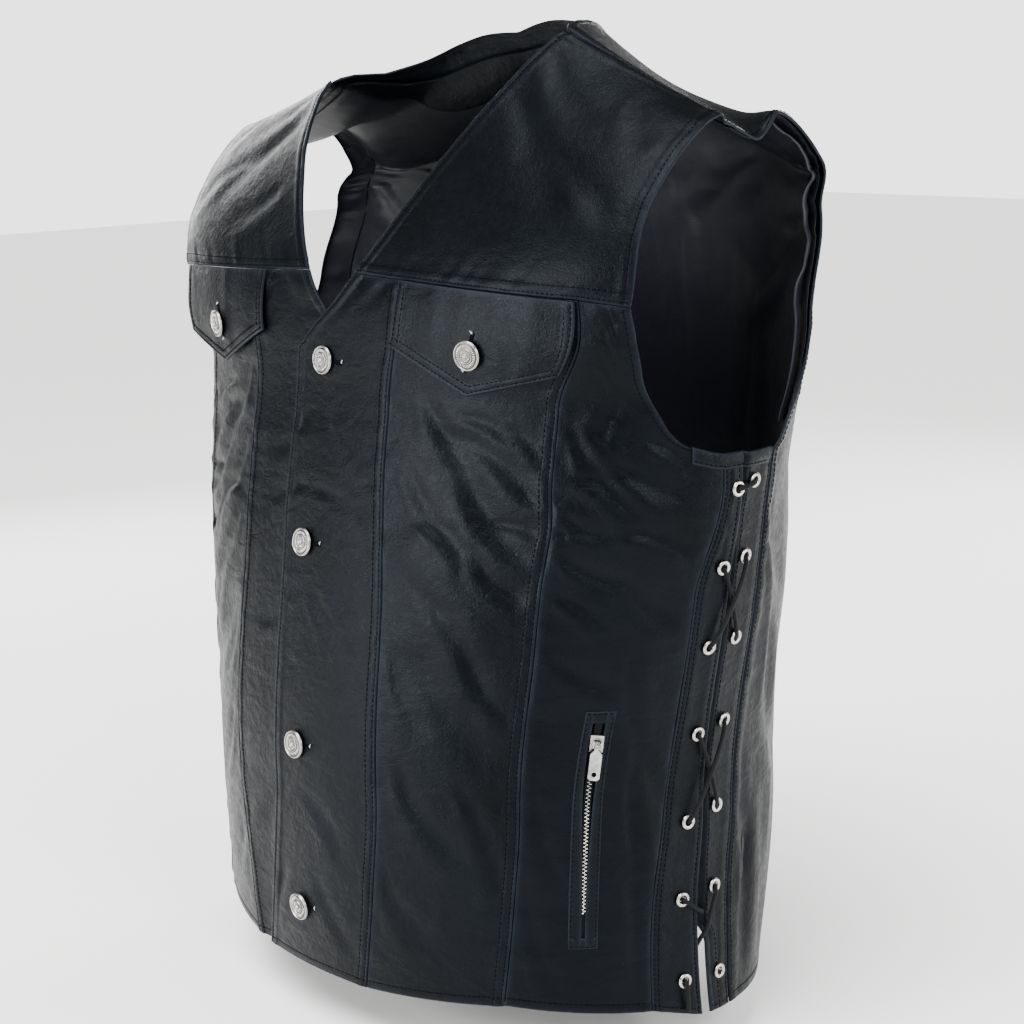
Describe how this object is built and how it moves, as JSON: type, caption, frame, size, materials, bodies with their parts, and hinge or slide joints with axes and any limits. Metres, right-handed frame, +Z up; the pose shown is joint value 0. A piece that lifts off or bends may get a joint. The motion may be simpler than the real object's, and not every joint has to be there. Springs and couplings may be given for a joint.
{
  "type": "leather vest",
  "caption": "Worn sleeveless leather vest with a V neck, button front, chest pocket flaps, zipped side pockets and laced sides.",
  "frame": {"origin": "midway between the two side neck points, where the wearer's shoulders carry the vest", "axes": "+Z up, -Y towards the front of the wearer, +X towards the wearer's left"},
  "size_m": [0.5242, 0.355, 0.6618],
  "materials": {
    "leather": "satin black cowhide with a fine grain",
    "satin": "glossy black satin",
    "woven": "matt black woven tape",
    "button_metal": "antiqued silver",
    "eyelet_metal": "polished nickel",
    "zip_metal": "polished nickel",
    "lace": "soft black thong"
  },
  "bodies": {
    "garment": {"back_panel": "leather", "front_yoke_left": "leather", "placket_left": "leather", "front_centre_left": "leather", "front_side_left": "leather", "lace_strip_front_left": "leather", "lace_strip_back_left": "leather", "pocket_flap_left": "leather", "front_yoke_right": "leather", "placket_right": "leather", "front_centre_right": "leather", "front_side_right": "leather", "lace_strip_front_right": "leather", "lace_strip_back_right": "leather", "pocket_flap_right": "leather", "neck_facing": "leather", "lining": "satin", "label": "woven", "button_1": "button_metal", "button_2": "button_metal", "button_3": "button_metal", "button_4": "button_metal", "pocket_button_left": "button_metal", "pocket_button_right": "button_metal", "eyelet_front_left_1": "eyelet_metal", "eyelet_front_left_2": "eyelet_metal", "eyelet_front_left_3": "eyelet_metal", "eyelet_front_left_4": "eyelet_metal", "eyelet_front_left_5": "eyelet_metal", "eyelet_front_left_6": "eyelet_metal", "eyelet_front_left_7": "eyelet_metal", "eyelet_back_left_1": "eyelet_metal", "eyelet_back_left_2": "eyelet_metal", "eyelet_back_left_3": "eyelet_metal", "eyelet_back_left_4": "eyelet_metal", "eyelet_back_left_5": "eyelet_metal", "eyelet_back_left_6": "eyelet_metal", "eyelet_back_left_7": "eyelet_metal", "eyelet_front_right_1": "eyelet_metal", "eyelet_front_right_2": "eyelet_metal", "eyelet_front_right_3": "eyelet_metal", "eyelet_front_right_4": "eyelet_metal", "eyelet_front_right_5": "eyelet_metal", "eyelet_front_right_6": "eyelet_metal", "eyelet_front_right_7": "eyelet_metal", "eyelet_back_right_1": "eyelet_metal", "eyelet_back_right_2": "eyelet_metal", "eyelet_back_right_3": "eyelet_metal", "eyelet_back_right_4": "eyelet_metal", "eyelet_back_right_5": "eyelet_metal", "eyelet_back_right_6": "eyelet_metal", "eyelet_back_right_7": "eyelet_metal", "zip_tape_left": "woven", "zip_slider_left": "zip_metal", "lace_left": "lace", "zip_tape_right": "woven", "zip_slider_right": "zip_metal", "lace_right": "lace"},
    "pull_left": {"zip_pull_left": "zip_metal"},
    "pull_right": {"zip_pull_right": "zip_metal"}
  },
  "joints": [
    {"name": "pull_swing_left", "type": "hinge", "parent": "garment", "child": "pull_left", "pos_m": [0.20739, -0.07966, -0.41562], "axis": [-0.5902, -0.7977, 0.1237], "range_deg": [0, 150]},
    {"name": "pull_swing_right", "type": "hinge", "parent": "garment", "child": "pull_right", "pos_m": [-0.20739, -0.07966, -0.41562], "axis": [-0.5902, 0.7977, -0.1237], "range_deg": [0, 150]}
  ]
}
